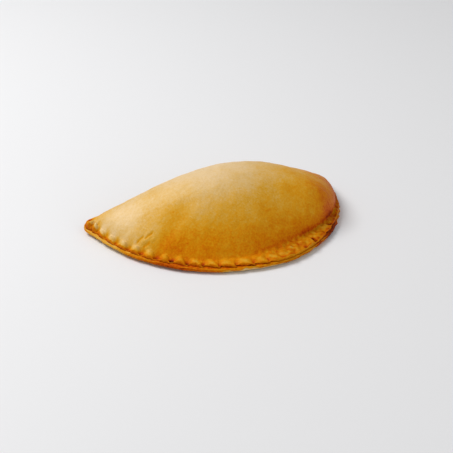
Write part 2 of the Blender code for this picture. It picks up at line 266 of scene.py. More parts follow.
# Browning of the dome, from 0 (pale dough) to 1 (burnt): the pale middle of the crest, how far it
# reaches along x and y, and the browning well outside it
PALE_MIDDLE = (-0.008, -0.020)
PALE_REACH = (0.0518, 0.0299)
BROWNEST = 0.66

# Browner (or with a minus, paler) patches: middle, reach along x and along y, and how much
# The first patch, paler at the left end of the dome, is partly pale dough and partly a painted
# sheen highlight.
PATCHES = [(-0.060, -0.018, 0.014, 0.017, -0.34),
           (-0.036, -0.024, 0.010, 0.008, 0.05),
           (-0.032, -0.037, 0.010, 0.007, 0.14),
           (-0.042, -0.052, 0.014, 0.007, 0.11),
           (-0.0415, -0.046, 0.006, 0.005, 0.08),
           (-0.052, -0.043, 0.005, 0.005, -0.10),
           (-0.073, -0.008, 0.006, 0.009, -0.13),
           (-0.026, -0.059, 0.010, 0.006, 0.06),
           (0.040, -0.051, 0.009, 0.008, -0.05),
           (0.056, -0.046, 0.006, 0.010, 0.10),
           (0.069, -0.026, 0.006, 0.010, 0.10)]
CLOUDS = 0.018
CLOUD_WAVES = (0.016, 21)
STREAKS = 0.012
STREAK_WAVES = (0.0050, 22)
STREAK_LENGTH = 1.6

# Browning up the wall behind the flange: height above the rim, reach, and how much
CREASE_BANDS = [(0.0008, 0.0016, 0.19), (0.0030, 0.0045, 0.08)]
CREASE_LEAST = 0.5
CREASE_FULL_FROM = (122.0, 9.0)
CREASE_TO = (162.0, 5.0)
WALL_FROM = (0.0012, 0.0008)

# Browning of the rim's top, with painted highlights on the beads and teeth and painted shade in the
# pits and notches: how much browner or paler, and how that differs by place
FLANGE_MOTTLE = 0.045
FLANGE_WAVES = (0.0032, 23)
LEFT_TO = (66.0, 8.0)
BEAD_PALE_AND_HIGHLIGHT = 0.17
BEAD_PALE_AND_HIGHLIGHT_LEFT = 0.05
BEAD_PALE_AND_HIGHLIGHT_FLANGE = 0.09
PIT_BROWNING_AND_SHADE = 0.24
PIT_BROWNING_AND_SHADE_LEFT = 0.24
PIT_BROWNING_AND_SHADE_FLANGE = 0.14
BRIM = 0.0024
BRIM_SOFT = 0.0005
BRIM_BROWNER = 0.12
BRIM_BEAD_LESS = 0.7
# painted shade just past each notch and a painted highlight on each tooth's tip, in front
TEETH_SHADE_AND_HIGHLIGHT = 0.16
TEETH_EVEN = 0.6
WRINKLE_BROWNER = 0.21
TEAR_BROWNER = 0.42
TEAR_BROWN_WIDTH = 1.2 * TEAR_WIDTH
HOLE_BROWNER = 0.25
HOLE_BROWN_WIDTH = 1.3 * HOLE_WIDTH
BURNT_SPOT = (-0.0724, -0.0036)
BURNT_WIDTH = 0.0013
BURNT_LONGER = 1.2
BURNT_BROWNER = 0.42

# Browning of the lip, with stretches and spots that are browner or paler
LIP_TOAST = 0.66
LIP_STRETCHES = [((5.0, 28.0, 4.0), -0.18), ((46.0, 78.0, 5.0), 0.07), ((127.0, 140.0, 2.0), 0.30)]
LIP_SPOTS = [((52.0, 9.0), 0.13), ((121.5, 2.0), 0.24)]
LIP_MOTTLE = 0.03
LIP_MOTTLE_WAVES = (0.009, 35)
LIP_MOTTLE_APART = 8.0
LAYER_PALER = 0.10
RIDGE_PALER = 0.10
RIDGE_AT = (0.86, 0.10)  # as shares of the sheet's thickness
PALE_FRONT = (76.0, 122.0, 4.0)
PALE_LEFT = (9.0, 27.0, 3.0)
PALE_LEFT_SHARE = 0.9
PALE_TOAST = 0.16
PALE_SHARE = 0.95
PALE_TOP = 0.44       # how far up the sheet the pale lower corner reaches
PALE_TOP_MORE = 0.20
PALE_TOP_MORE_AT = (80.0, 97.0, 3.0)
PALE_TOP_LESS = 0.12
PALE_TOP_LESS_FROM = (100.0, 3.0)
PALE_TOP_SOFT = 0.05
PALE_TOP_UNEVEN = 0.07
PALE_TOP_WAVES = (0.0060, 38)
UNDER_TOASTS = ((0.40, 0.00), (0.42, 0.00), (0.45, 0.15), (0.45, 0.25))  # and paler by

# Browning of the seam and of the upper sheet's edge. The sill and the seam under the upper sheet
# are darkened with painted shade, more where the crack gapes, and charred along the charred stretch
SILL_SHADE_TOAST = 0.80
SEAM_SHADE_TOAST = 0.84
SEAM_OPEN_SHADE_AND_CHAR = 0.12
SEAM_OPEN_SHARE = 0.7
SEAM_FLANGE_PALER = 0.16
SHEET_TOAST = 0.74
SHEET_TOP_PALER = 0.12
SHEET_FLANGE_PALER = 0.10
SHEET_FLANGE_TO = (148.0, 5.0)
SHEET_CHARRED = 0.24
SHEET_CHARRED_TO = 0.8
SHEET_CHARRED_SOFT = 0.2

# Browning of the fold and of the underside
FOLD_LOW_TOAST = 0.40
FOLD_NOSE_MORE = 0.20
FOLD_NOSE_TOAST = 0.60
FOLD_TOP_LESS = 0.10
BACK_TOAST = 0.52
BACK_SHARE = 0.7
BACK_FROM = (-0.0060, 0.0025)
UNDER_TOAST = 0.40
UNDER_MOTTLE = 0.05
UNDER_WAVES = (0.020, 51)
# the flange's lip and sheet edge are darkened too, partly duller crust and partly painted shade
EDGE_DULL_AND_SHADE = 0.7

# Mesh. Each ring on the dome or underside is (columns stepped over, share of the way to the core)
COLUMNS = 960
FOLD_COLUMNS = 200
CORE = np.array([0.0, -0.030])
RAYS = 8000
RAY_ROUNDS = 30
LEAST_RISE = 0.05     # of a ray towards the fold
LEAST_SLANT = 0.35    # between a ray and the edge
NARROWEST = 0.0050
FOLD_CREASE = 0.0065
FOLD_SHELF = 0.0018
FOLD_BED = 0.0085
LIP_ROWS = 13
EDGE_ROWS = 7
FINE_RINGS = 42
FINE_FROM = 0.02
FINE_REACH = 1.9      # the finest rings go on to this share of the way to the crease
DOME_RINGS = ([(2, part) for part in np.linspace(0.02, 0.14, 7)]
              + [(4, part) for part in np.linspace(0.18, 0.62, 12)]
              + [(8, part) for part in (0.68, 0.74, 0.80)] + [(16, 0.87), (32, 0.94)])
UNDERSIDE_RINGS = [(32, 0.94), (16, 0.85), (8, 0.65), (4, 0.40), (2, 0.12)]

# Crust colour by browning, as linear red, green and blue
TOAST_COLOURS = [(0.00, (0.78, 0.56, 0.300)),
                 (0.10, (0.76, 0.52, 0.240)),
                 (0.20, (0.73, 0.47, 0.165)),
                 (0.30, (0.71, 0.41, 0.092)),
                 (0.40, (0.69, 0.36, 0.035)),
                 (0.50, (0.68, 0.30, 0.007)),
                 (0.60, (0.65, 0.22, 0.002)),
                 (0.70, (0.59, 0.14, 0.001)),
                 (0.80, (0.50, 0.075, 0.001)),
                 (0.90, (0.30, 0.030, 0.001)),
                 (1.00, (0.06, 0.010, 0.002))]

# Crust surface. Noise is (scale, detail, roughness, strength)
MOTTLE = (300.0, 4.0, 0.65, 0.20)
GRAIN = (900.0, 3.0, 0.7, 0.42)
SMEARS = (420.0, 3.0, 0.6, 0.20)
PORES = (1900.0, 4.0, 0.65, 0.9)
BLISTERS = (600.0, 2.0, 0.5, 0.7)
ROUGHNESS = 0.44
SHEEN = 0.62
SHEEN_FALL = 0.98     # browned crust shines less
SHEEN_LEAST = 0.04
SHEEN_TINT = (1.0, 0.74, 0.38, 1.0)
# how much the flange is darkened: partly a duller crust, partly painted shade from the dome
FLANGE_DULL_AND_SHADE = 0.18
BUMP_STRENGTH = 0.80
BUMP_DISTANCE = 0.00026

# Floor, light and camera, in metres, watts and degrees
FLOOR_COLOUR = (0.80, 0.80, 0.81, 1.0)
FLOOR_ROUGHNESS = 0.6
FLOOR_REACH = 3.0
FLOOR_HEIGHT = -0.0002
SKY_COLOUR = (1.0, 1.0, 1.0, 1.0)
SKY_STRENGTH = 0.40
LIT = Vector((0.0, 0.0, 0.015))
AZIMUTH = 22.37
ELEVATION = 31.13
DISTANCE = 0.650
AIM = Vector((0.00183, 0.00970, 0.0))
LENS = 89.64
SENSOR = 36.0
CLIP_START = 0.01


def bell(value, centre, width):
    """A hump: 1 at the centre, falling to 0 on both sides."""
    return np.exp(-(((value - centre) / width) ** 2))


def step_up(value, middle, soft):
    """0 below the middle and 1 above it, or the other way round if value and middle change."""
    return 0.5 * (1.0 + np.tanh((value - middle) / soft))


def span(value, low, high, soft):
    return step_up(value, low, soft) * step_up(high, value, soft)


def smooth_max(a, b, width):
    return 0.5 * (a + b + np.sqrt((a - b) ** 2 + width**2))


def around(phi, middle, width):
    """A hump round this angle in degrees."""
    return bell(phi, np.radians(middle), np.radians(width))


def from_angle(phi, degrees, soft):
    return step_up(phi, np.radians(degrees), np.radians(soft))


def to_angle(phi, degrees, soft):
    return step_up(np.radians(degrees), phi, np.radians(soft))


def between(phi, low, high, soft):
    return span(phi, np.radians(low), np.radians(high), np.radians(soft))


def waves(x, y, size, seed):
    """Smooth random unevenness of about this size, mostly between -1.5 and 1.5."""
    rng = np.random.default_rng(seed)
    total = np.zeros(np.broadcast(x, y).shape)
    for _ in range(18):
        turn = rng.uniform(0.0, 2.0 * np.pi)
        length = size * rng.uniform(0.7, 1.5)
        phase = rng.uniform(0.0, 2.0 * np.pi)
        total = total + np.sin(2.0 * np.pi * (x * np.cos(turn) + y * np.sin(turn)) / length + phase)
    return total / 3.0


def polar(x, y):
    return np.hypot(x, y), np.arctan2(np.maximum(-y, 0.0), -x)


def arc_radius(phi):
    """Distance of the curved edge from the middle of the fold."""
    nub = NUB * around(phi, *NUB_AT)
    shoulder = SHOULDER * around(phi, *SHOULDER_AT)
    bulge = BULGE * around(phi, *BULGE_AT)
    oval = HALF_LENGTH + (DEPTH - HALF_LENGTH) * np.sin(phi) ** 2
    return oval - SKEW * np.sin(2.0 * phi) + nub + shoulder + bulge


def rim_width(phi):
    widest = (RIM_WIDEST - RIM_LEFT) * around(phi, *RIM_WIDEST_AT)
    at_right = (RIM_RIGHT - RIM_LEFT) * from_angle(phi, *RIM_RIGHT_FROM)
    return RIM_LEFT + widest + at_right


def rim_lift(phi):
    """How far the rim's underside stands off the table."""
    left = LIFT_LEFT * between(phi, *LIFT_LEFT_AT)
    right = LIFT_RIGHT * between(phi, *LIFT_RIGHT_AT)
    return LIFT + left + right


def along_flange(phi):
    """1 along the broad flange at the right, and 0 elsewhere."""
    return between(phi, *FLANGE)


def in_front(phi):
    """1 along the front, where the upper sheet's edge is cut into teeth."""
    return between(phi, *FRONT)


def near_edge(inset):
    """1 at the outline, falling to 0."""
    return np.clip(1.0 - inset / EDGE_REACH, 0.0, 1.0)


def fold_line(x):
    return FOLD_BULGE * (1.0 - (x / HALF_LENGTH) ** 2)


def right_end(x):
    """0 along the left and middle of the dome, rising to 1 at its right end."""
    return step_up(x, RIGHT_FROM, RIGHT_SOFT)


def dome_half(x):
    return DOME_LEFT + (DOME_RIGHT - DOME_LEFT) * right_end(x)


def foot_line(x):
    """Where the dome's front foot lies, as y."""
    share = np.clip(x / dome_half(x), -1.0, 1.0)
    phi = np.arccos(-share)
    return -np.sqrt(1.0 - share**2) * (arc_radius(phi) - rim_width(phi))


def make_beads():
    """The beads: for each its angle, the space to the next one, and its own size and pit."""
    rng = np.random.default_rng(SEED)
    angles = []
    phi = BEAD_START
    while phi < np.pi - 0.5 * BEAD_START:
        angles.append(phi)
        pitch = BEAD_PITCH - BEAD_CLOSE * around(phi, *BEAD_CLOSE_AT)
        pitch -= TIP_CLOSE * around(phi, 0.0, TIP_REACH)
        pitch -= TIP_CLOSE * around(phi, 180.0, TIP_REACH)
        phi += pitch * (1.0 + BEAD_JITTER * rng.standard_normal())
    vary = np.random.default_rng(SEED + 1)
    beads = []
    for centre, beyond in zip(angles, angles[1:] + [np.pi]):
        space = (beyond - centre) * HALF_LENGTH
        right = from_angle(centre, *BEAD_RIGHT_FROM)
        left = to_angle(centre, *BEAD_LEFT_TO)
        flange = from_angle(centre, *FLANGE_FROM)
        fading = to_angle(centre, *BEAD_FADE) * min(1.0, space / FULL_SPACE)
        share = BEAD_LEAST + BEAD_LEFT_HIGHER * left - BEAD_FLANGE_LOWER * flange
        pit_width = (PIT_WIDTH - PIT_NARROWER * (1.0 - left)) * space
        beads.append({
            "at": centre,
            "space": space,
            "wide": (BEAD_HALF_WIDTH + BEAD_WIDER * right) * space * vary.uniform(*BEAD_WIDTHS),
            "long": (BEAD_HALF_LENGTH + BEAD_LONGER * right) * vary.uniform(*BEAD_LENGTHS),
            "inset": BEAD_INSET + BEAD_FURTHER * right + BEAD_INSETS * vary.uniform(-1.0, 1.0),
            "height": BEAD_HEIGHT * share * fading * vary.uniform(*BEAD_HEIGHTS),
            "pit": PIT_DEPTH * (1.0 - PIT_SHALLOWER * right) * fading * vary.uniform(*PIT_DEPTHS),
            "ring": RING_DEPTH * (RING_LEAST + (1.0 - RING_LEAST) * left) * fading,
            "pit_wide": pit_width * (1.0 + PIT_LEFT_WIDER * left),
            "pit_inset": PIT_INSET + PIT_FURTHER * right})
    return beads


BEADS = make_beads()


def crimp(phi, inset):
    """Height that the beads add to the rim, how much each point is a bead, and how much a pit."""
    relief = np.zeros_like(phi)
    on_bead = np.zeros_like(phi)
    in_pit = np.zeros_like(phi)
    for bead in BEADS:
        near = (np.abs(phi - bead["at"]) < BEAD_REACH) & (inset < BEAD_REACH_IN)
        along = (phi[near] - bead["at"]) * HALF_LENGTH
        into = inset[near] - bead["inset"]
        radius = np.hypot((along + BEAD_TILT * into) / bead["wide"], into / bead["long"])
        lump = np.exp(-radius**BEAD_FLATNESS)
        upper = RING_OPEN * bead["long"]
        ring = bell(radius, RING_RADIUS, RING_WIDTH) * step_up(into, -upper, upper)
        from_pit = along - PIT_AT * bead["space"]
        reach = bead["pit_wide"] * np.where(from_pit > 0.0, PIT_BEYOND, PIT_BEFORE)
        pit = bell(from_pit, 0.0, reach) * bell(inset[near], bead["pit_inset"], PIT_LENGTH)
        relief[near] += bead["height"] * lump - bead["ring"] * ring - bead["pit"] * pit
        on_bead[near] = np.maximum(on_bead[near], lump)
        in_pit[near] = np.maximum(in_pit[near], pit)
    return relief, on_bead, in_pit


def tooth(phi):
    """0 just past each notch of the upper sheet's edge, rising to 1 just before the next one."""
    share = np.zeros_like(phi)
    for bead in BEADS:
        beyond = (phi - bead["at"]) * HALF_LENGTH / bead["space"] - 0.5
        share = np.where((beyond >= 0.0) & (beyond < 1.0), beyond, share)
    return share


def scallop(phi):
    """How far the upper sheet's edge is drawn back: between the beads, and in teeth in front."""
    drawn = np.zeros_like(phi)
    for bead in BEADS:
        from_notch = (phi - bead["at"]) * HALF_LENGTH - 0.5 * bead["space"]
        reach = bead["space"] * np.where(from_notch > 0.0, NOTCH_BEYOND, NOTCH_BEFORE)
        drawn = np.maximum(drawn, bell(from_notch, 0.0, reach))
    front = in_front(phi)
    plain = (1.0 - front) * (1.0 - SCALLOP_FLANGE * along_flange(phi))
    return SCALLOP * drawn * plain + SCALLOP_FRONT * (1.0 - tooth(phi)) * front


def groove(x, y, ends, width):
    """1 on the line between the two ends, falling to 0 beside it."""
    start, end = np.array(ends[0]), np.array(ends[1])
    line = end - start
    share = ((x - start[0]) * line[0] + (y - start[1]) * line[1]) / np.dot(line, line)
    share = np.clip(share, 0.0, 1.0)
    gap = np.hypot(x - start[0] - share * line[0], y - start[1] - share * line[1])
    return bell(gap, 0.0, width)


def wrinkled(x, y):
    """How much each point lies in a wrinkle."""
    return np.minimum(sum(groove(x, y, ends, WRINKLE_WIDTH) for ends in WRINKLES), 1.0)


def torn(x, y):
    """How much each point lies in the tear, which is a notch that narrows inwards."""
    outward = np.clip((-y - TEAR_INNER) / TEAR_LENGTH, 0.0, TEAR_LONGEST)
    return groove(x, y, TEAR, TEAR_WIDTH * (TEAR_NARROW + TEAR_WIDENS * outward))


def pricked(x, y, width):
    return bell(np.hypot(x - HOLE[0], y - HOLE[1]), 0.0, width)


def marks(x, y):
    """Depth of the wrinkles, the dent, the tear with its raised flap, and the prick hole."""
    fold = sum(groove(x, y, ends, FOLD_WIDTH) for ends in FOLDS)
    flap = groove(x + FLAP_BESIDE, y, TEAR, FLAP_WIDTH)
    return (DENT_DEPTH * groove(x, y, DENT, DENT_WIDTH)
            + TEAR_DEPTH * torn(x, y) - FLAP_HEIGHT * flap
            + WRINKLE_DEPTH * wrinkled(x, y) - FOLD_HEIGHT * fold
            + HOLE_DEPTH * pricked(x, y, HOLE_WIDTH))


def swell(x, y):
    """Broad, shallow unevenness of the dome."""
    first = np.sin(x / 0.0105 + 0.8) * np.sin(y / 0.0090 + 1.9)
    second = np.sin((x + y) / 0.0066 + 2.4) * np.sin((x - 1.6 * y) / 0.0120 + 0.3)
    return 0.6 * first + 0.4 * second


def lip_width(phi):
    """How far the lower sheet stands out past the upper one."""
    return LIP - LIP_LESS * between(phi, *LIP_LESS_AT)


def seam_opening(phi):
    return np.maximum(between(phi, *OPEN_FRONT), between(phi, *OPEN_RIGHT))


def across(x, share):
    """Height of the dome's cross-section, at a share of the way from its foot to the fold."""
    rise = ARC_LEFT + (ARC_RIGHT - ARC_LEFT) * right_end(x)
    crest = rise / (rise + FOLD_POWER)
    peak = crest**rise * (1.0 - crest) ** FOLD_POWER
    return share**rise * (1.0 - share) ** FOLD_POWER / peak


def fullness(x):
    """Height of the dome's crest along x."""
    share = (x / dome_half(x)) ** 2 + FLAT_CREST**2
    fall = share ** (0.5 * ROUND_POWER) - FLAT_CREST**ROUND_POWER
    blunt = END_LEFT + (END_RIGHT - END_LEFT) * right_end(x)
    even = np.clip(1.0 - fall, 0.0, 1.0) ** blunt * (1.0 + LEAN * x / HALF_LENGTH)
    return even + LEFT_FULLER * bell(x, LEFT_FULLEST, LEFT_REACH)


def lumps(x, y, phi):
    """Unevenness of the rim, most on the broad flange at the right."""
    flange = from_angle(phi, *LUMPS_FROM)
    coarse = (LUMPS + LUMPS_FLANGE * flange) * waves(x, y, *LUMP_WAVES)
    return coarse + CRUMBS_FLANGE * flange * waves(x, y, *CRUMB_WAVES)


def crease_softness(phi, inset):
    """Rounding of the crease between the rim and the dome."""
    crisp = between(phi, *CRISP_AT) * near_edge(inset)
    return CREASE_SOFT + (CREASE_CRISP - CREASE_SOFT) * crisp


def sheets(x, y):
    """Heights of the dome and of the rim over x, y, each as if the other weren't there."""
    rho, phi = polar(x, y)
    inset = arc_radius(phi) - rho
    foot = foot_line(x)
    share = np.clip((y - foot) / (fold_line(x) - foot + 1e-6), 0.0, 1.0)
    bulk = fullness(x) * across(x, share)
    dome = FOOT + (HEIGHT - FOOT) * bulk + SWELL * swell(x, y) * np.minimum(SWELL_FULL * bulk, 1.0)
    soft = UNDERCUT_SOFT * crease_softness(phi, inset)
    dome = dome - UNDERCUT * smooth_max(rim_width(phi) - inset, 0.0, soft)
    raised = rim_lift(phi) + NUB_RISE * around(phi, *NUB_RISE_AT)
    return dome, LOWER_SHEET + UPPER_SHEET + raised * near_edge(inset)


def top_height(x, y):
    """Height of the upper surface over the point x, y."""
    rho, phi = polar(x, y)
    inset = arc_radius(phi) - rho
    dome, rim = sheets(x, y)
    surface = smooth_max(rim, dome, crease_softness(phi, inset))
    relief = crimp(phi, inset)[0] + lumps(x, y, phi)
    fine = DIMPLES * waves(x, y, *DIMPLE_WAVES) + PIMPLES * waves(x, y, *PIMPLE_WAVES)
    return surface + relief * step_up(RELIEF_TO, dome - rim, RIM_SOFT) - marks(x, y) + fine


def dome_toast(x, y):
    """Browning of the dome: pale in the middle of the crest, with patches, clouds and streaks."""
    from_pale = np.hypot((x - PALE_MIDDLE[0]) / PALE_REACH[0], (y - PALE_MIDDLE[1]) / PALE_REACH[1])
    toast = BROWNEST * (1.0 - np.exp(-(from_pale**2)))
    for at_x, at_y, reach_x, reach_y, more in PATCHES:
        toast = toast + more * bell(x, at_x, reach_x) * bell(y, at_y, reach_y)
    toast = toast + CLOUDS * waves(x, y, *CLOUD_WAVES)
    return toast + STREAKS * waves(x, STREAK_LENGTH * y, *STREAK_WAVES)


def top_toast(x, y):
    """How browned the upper surface is, apart from the burnt spot."""
    rho, phi = polar(x, y)
    inset = arc_radius(phi) - rho
    dome, rim = sheets(x, y)
    above = dome - rim
    along = along_flange(phi)
    front = in_front(phi)
    left = to_angle(phi, *LEFT_TO)
    toast = dome_toast(x, y)

    creased = along * (CREASE_LEAST + (1.0 - CREASE_LEAST) * from_angle(phi, *CREASE_FULL_FROM))
    creased = creased * to_angle(phi, *CREASE_TO)
    for height, reach, more in CREASE_BANDS:
        toast = toast + more * bell(above, height, reach) * creased
    flange = step_up(MOTTLE_TO, above, RIM_SOFT) * along
    toast = toast + FLANGE_MOTTLE * flange * waves(x, y, *FLANGE_WAVES)

    _, on_bead, in_pit = crimp(phi, inset)
    off_wall = 1.0 - from_angle(phi, *FLANGE_FROM) * step_up(above, *WALL_FROM)
    on_bead, in_pit = on_bead * off_wall, in_pit * off_wall
    # The beads' tops are paler, partly paler dough and partly a painted highlight; the pits are
    # browner, partly browning and partly painted shade.
    paler = BEAD_PALE_AND_HIGHLIGHT - BEAD_PALE_AND_HIGHLIGHT_LEFT * left - BEAD_PALE_AND_HIGHLIGHT_FLANGE * along
    pit_browning_and_shade = PIT_BROWNING_AND_SHADE + PIT_BROWNING_AND_SHADE_LEFT * left - PIT_BROWNING_AND_SHADE_FLANGE * along
    toast = toast - paler * on_bead
    toast = toast + pit_browning_and_shade * in_pit
    brim = step_up(BRIM, inset, BRIM_SOFT) * (y < 0.0) * off_wall
    toast = toast + BRIM_BROWNER * brim * (1.0 - BRIM_BEAD_LESS * on_bead) * (1.0 - front)
    # In front, painted shade just past each notch and a painted highlight on each tooth's tip.
    toast = toast + TEETH_SHADE_AND_HIGHLIGHT * brim * (TEETH_EVEN - tooth(phi)) * front

    toast = toast + WRINKLE_BROWNER * wrinkled(x, y)
    toast = toast + TEAR_BROWNER * groove(x, y, TEAR, TEAR_BROWN_WIDTH)
    toast = toast + HOLE_BROWNER * pricked(x, y, HOLE_BROWN_WIDTH)
    return np.clip(toast, 0.0, 1.0)


def burnt(x, y):
    """How much each point lies in the burnt spot on the nub."""
    gap = np.hypot((x - BURNT_SPOT[0]) / BURNT_LONGER, y - BURNT_SPOT[1])
    return bell(gap, 0.0, BURNT_WIDTH)


def top_dull_and_shade(x, y):
    """How much the flange is darkened: partly a duller crust, partly painted shade from the dome.
    """
    dome, rim = sheets(x, y)
    return along_flange(polar(x, y)[1]) * step_up(DULL_AND_SHADE_TO, dome - rim, RIM_SOFT)


def rays():
    """Rays from the core to the edge: angle, direction, length, and the fold's share of each."""
    angle = np.linspace(-np.pi, np.pi, RAYS + 1)[:-1]
    direction = np.stack([np.cos(angle), np.sin(angle)], axis=1)
    to_arc = np.full(len(angle), HALF_LENGTH)
    to_fold = np.full(len(angle), HALF_LENGTH)
    for _ in range(RAY_ROUNDS):
        point = CORE + to_arc[:, None] * direction
        rho, phi = polar(point[:, 0], point[:, 1])
        to_arc = to_arc + arc_radius(phi) - rho
        reach = np.clip(to_fold * direction[:, 0], -HALF_LENGTH, HALF_LENGTH)
        to_fold = (fold_line(reach) - CORE[1]) / np.maximum(direction[:, 1], LEAST_RISE)
    nearness = to_arc**-TIP_SHARPNESS + to_fold**-TIP_SHARPNESS
    length = nearness ** (-1.0 / TIP_SHARPNESS)
    share = (length / to_fold) ** TIP_SHARPNESS
    return angle, direction, length, share


def columns(count, fold_count):
    """Evenly spread rays, count in all, with fold_count of them along the fold."""
    angle, direction, length, share = rays()
    point = CORE + length[:, None] * direction
    step = np.linalg.norm(np.roll(point, -1, axis=0) - point, axis=1)
    fold_density = fold_count / (2.0 * HALF_LENGTH)
    arc_density = (count - fold_count) / (np.pi * HALF_LENGTH)
    weight = np.cumsum(step * (arc_density + (fold_density - arc_density) * share))
    turn = np.interp(np.arange(count) * weight[-1] / count, weight, angle)
    direction = np.stack([np.cos(turn), np.sin(turn)], axis=1)
    length = np.interp(turn, angle, length)
    share = np.interp(turn, angle, share)
    point = CORE + length[:, None] * direction
    edge = np.roll(point, -1, axis=0) - np.roll(point, 1, axis=0)
    outward = np.stack([edge[:, 1], -edge[:, 0]], axis=1)
    outward = outward / np.linalg.norm(outward, axis=1)[:, None]
    slant = np.clip(np.sum(outward * direction, axis=1), LEAST_SLANT, 1.0)
    return direction, length, share, slant


def at_inset(rim, inset):
    """Points at this distance inwards from the outline, one for each ray of the rim."""
    direction, length, _, slant = rim
    return CORE + (length - inset / slant)[:, None] * direction


def edge_angle(rim):
    edge = at_inset(rim, 0.0)
    return polar(edge[:, 0], edge[:, 1])[1]


def lip_outline(phi, arc):
    """How far in the lip's outline lies, with its raggedness."""
    fine = RAGGED_FINE * waves(arc, 0.0, *RAGGED_FINE_WAVES)
    ragged = RAGGED * (1.0 + waves(arc, 0.0, *RAGGED_WAVES) + fine)
    bumps = 1.0 + waves(arc, 0.0, *RAGGED_RIGHT_WAVES)
    ragged = ragged + RAGGED_RIGHT * from_angle(phi, *RAGGED_RIGHT_FROM) * bumps
    return ragged - FURTHER * between(phi, *FURTHER_AT)


def lip_toast(phi):
    toast = LIP_TOAST
    for stretch, more in LIP_STRETCHES:
        toast = toast + more * between(phi, *stretch)
    for spot, more in LIP_SPOTS:
        toast = toast + more * around(phi, *spot)
    return toast


def pale_corner(phi, arc):
    """How pale the lip's lower corner is, and how far up the sheet that reaches."""
    pale = np.maximum(between(phi, *PALE_FRONT), PALE_LEFT_SHARE * between(phi, *PALE_LEFT))
    top = PALE_TOP + PALE_TOP_MORE * between(phi, *PALE_TOP_MORE_AT)
    top = top - PALE_TOP_LESS * from_angle(phi, *PALE_TOP_LESS_FROM)
    return pale, top + PALE_TOP_UNEVEN * waves(arc, 0.0, *PALE_TOP_WAVES)


def lip_rows(phi, lift):
    """Rows round the lower sheet's edge, with its thin layers: inset, height and browning."""
    arc = phi * HALF_LENGTH
    outline = lip_outline(phi, arc)
    browned = lip_toast(phi)
    pale, pale_top = pale_corner(phi, arc)
    rows = []
    for (bed_share, lift_share), (toast, paler) in zip(UNDER_RISE, UNDER_TOASTS):
        rows.append((bed_share * BED, lift_share * lift, toast - paler * pale))
    for number in range(LIP_ROWS):
        up = number / (LIP_ROWS - 1.0)
        rounding = LIP_ROUNDING * LOWER_SHEET * abs(2.0 * up - 1.0) ** LIP_SQUARENESS
        wander = LAYERS_WANDER * waves(arc, 0.0, *LAYERS_WAVES)
        fading = waves(arc, LAYERS_FADE_APART * up, *LAYERS_FADE_WAVES)
        fading = LAYERS_USUAL + LAYERS_FADE * fading
        layer = np.sin(2.0 * np.pi * (LAYERS * up + wander)) * np.clip(fading, *LAYERS_LIMITS)
        rough = FLAKE_ROUGH * waves(arc, up * LOWER_SHEET, *FLAKE_WAVES)
        flake = FLAKE * (layer + rough) * np.sin(np.pi * up)
        corner = step_up(pale_top, up, PALE_TOP_SOFT)
        inset = outline + rounding - flake + UNDERCUT_LIP * pale * corner
        mottle = LIP_MOTTLE * waves(arc, LIP_MOTTLE_APART * up, *LIP_MOTTLE_WAVES)
        toast = browned - LAYER_PALER * layer + mottle
        toast = toast - RIDGE_PALER * bell(up, *RIDGE_AT)
        toast = toast + (PALE_TOAST - toast) * pale * corner * PALE_SHARE
        rows.append((inset, lift + LOWER_SHEET * up, toast))
    return rows


def sheet_rows(rim, phi, lift):
    """Rows of the seam and of the upper sheet's edge: inset, height and browning, with painted
    shade in the seam.
    """
    arc = phi * HALF_LENGTH
    charred = between(phi, *CHARRED)
    plain = along_flange(phi) * (1.0 - charred)
    opening = seam_opening(phi)
    back = lip_width(phi) + scallop(phi) + SHEET_RAGGED * waves(arc, 0.0, *SHEET_RAGGED_WAVES)
    seam = back + SEAM + CRACK * opening * (1.0 + CRACK_UNEVEN * waves(arc, 0.0, *CRACK_WAVES))
    middle = 0.5 * (back + seam)
    uneven = np.clip(1.0 + GAP_UNEVEN * waves(arc, 0.0, *GAP_WAVES), *GAP_LIMITS)
    gap = SEAM_GAP + CRACK_GAP * opening * (1.0 + CHARRED_GAP * charred) * uneven
    sill = lift + LOWER_SHEET
    rounding = SHEET_ROUNDING + NUB_ROUNDING * around(phi, *NUB_ROUNDING_AT)
    shelf = at_inset(rim, back + rounding + SHELF)
    brow = np.maximum(top_height(shelf[:, 0], shelf[:, 1]), sill + gap + SHEET_LEAST)
    # The sill and the seam are darkened with painted shade, more where the crack gapes, and charred
    # along the charred stretch.
    seam_shade_and_char = SEAM_SHADE_TOAST + SEAM_OPEN_SHADE_AND_CHAR * np.maximum(SEAM_OPEN_SHARE * opening, charred)
    seam_shade_and_char = seam_shade_and_char - SEAM_FLANGE_PALER * plain
    rows = [(back - SILL_OVERLAP, sill + SILL_STEPS[0], SILL_SHADE_TOAST + 0.0 * phi),
            (middle, sill + SILL_STEPS[1], seam_shade_and_char),
            (seam, sill + SILL_STEPS[2], seam_shade_and_char),
            (seam, sill + gap, seam_shade_and_char),
            (middle, sill + gap, seam_shade_and_char)]
    for number in range(EDGE_ROWS):
        up = number / (EDGE_ROWS - 1.0)
        rise = SHEET_FROM + (1.0 - 2.0 * SHEET_FROM) * up
        height = sill + gap + rise * (brow - sill - gap)
        inset = back + rounding * up**3 + SHEET_WAIST * np.cos(np.pi * up)
        toast = SHEET_TOAST - SHEET_TOP_PALER * up
        toast = toast - SHEET_FLANGE_PALER * plain * to_angle(phi, *SHEET_FLANGE_TO)
        burnt_edge = step_up(SHEET_CHARRED_TO, up, SHEET_CHARRED_SOFT)
        toast = toast + SHEET_CHARRED * charred * burnt_edge
        rows.append((inset, height, toast))
    return rows, back + rounding + SHELF_RINGS


